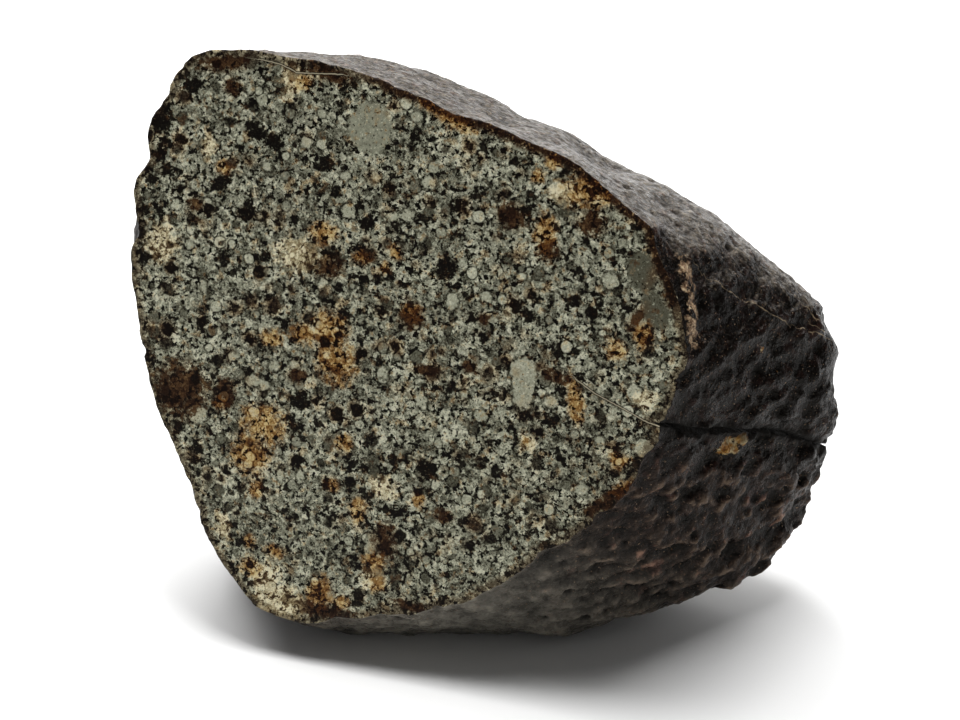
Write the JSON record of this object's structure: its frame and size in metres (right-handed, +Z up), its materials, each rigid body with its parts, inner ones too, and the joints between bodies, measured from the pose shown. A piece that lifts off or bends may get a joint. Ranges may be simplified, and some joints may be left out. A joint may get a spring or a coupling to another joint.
{
  "type": "chondrite meteorite",
  "caption": "Half of a rounded stony meteorite with one flat sawn and polished face and dark crusted flanks, resting on a small flat spot.",
  "frame": {"origin": "middle of the stone's box at the level of the small flat spot it rests on", "axes": "+Z up, +X along the stone's longest side to the right of the cut face, -Y towards the viewer of the cut face, which leans back 18 degrees from upright"},
  "size_m": [0.1188, 0.0718, 0.0946],
  "materials": {
    "stone": "dark weathered crust, with one polished speckled grey-brown cut face"
  },
  "bodies": {
    "root": {"stone": "stone"}
  },
  "joints": []
}
